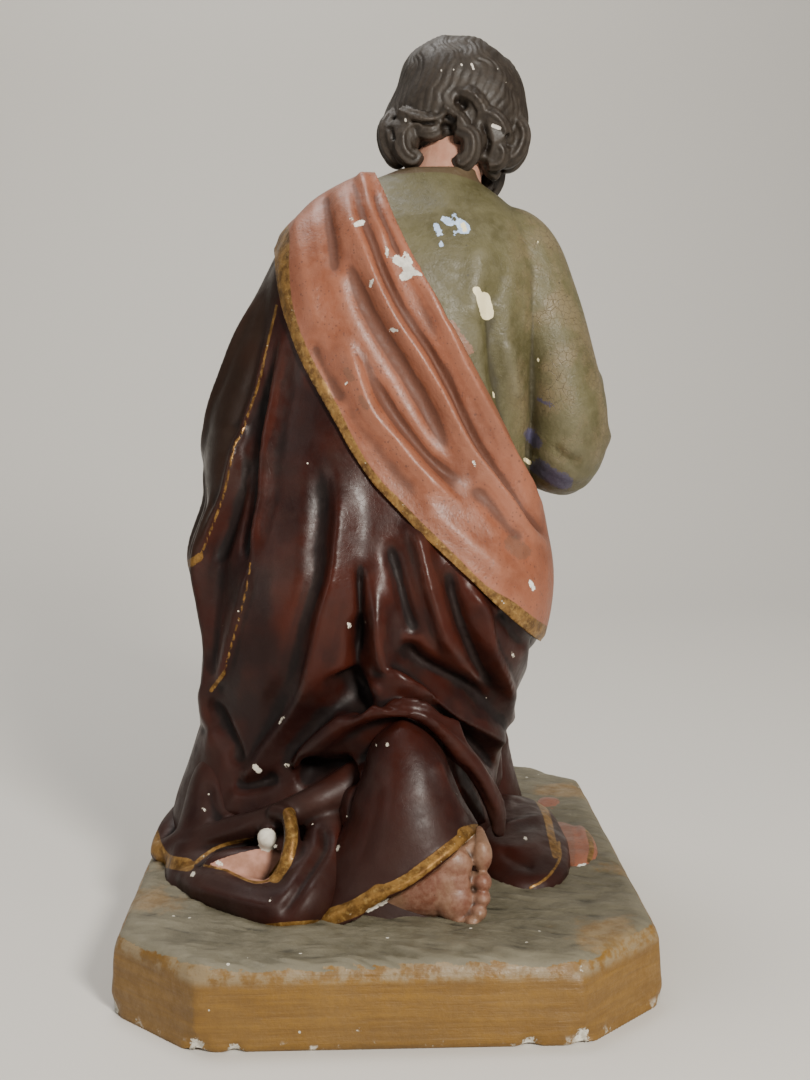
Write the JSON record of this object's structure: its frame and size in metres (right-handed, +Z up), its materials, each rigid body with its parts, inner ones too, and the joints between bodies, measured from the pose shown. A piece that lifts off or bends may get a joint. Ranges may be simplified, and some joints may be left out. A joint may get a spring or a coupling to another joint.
{
  "type": "saint joseph statue",
  "caption": "Kneeling robed saint with bowed head and joined hands on a low eight-sided plinth, a painted plaster figure for a shelf, altar or nativity group.",
  "frame": {"origin": "centre of the plinth's underside", "axes": "+Z up, the figure faces -Y and its left side is at +X"},
  "size_m": [0.22, 0.286, 0.4061],
  "materials": {
    "painted_plaster": "satin"
  },
  "bodies": {
    "root": {"statue": "painted_plaster"}
  },
  "joints": []
}
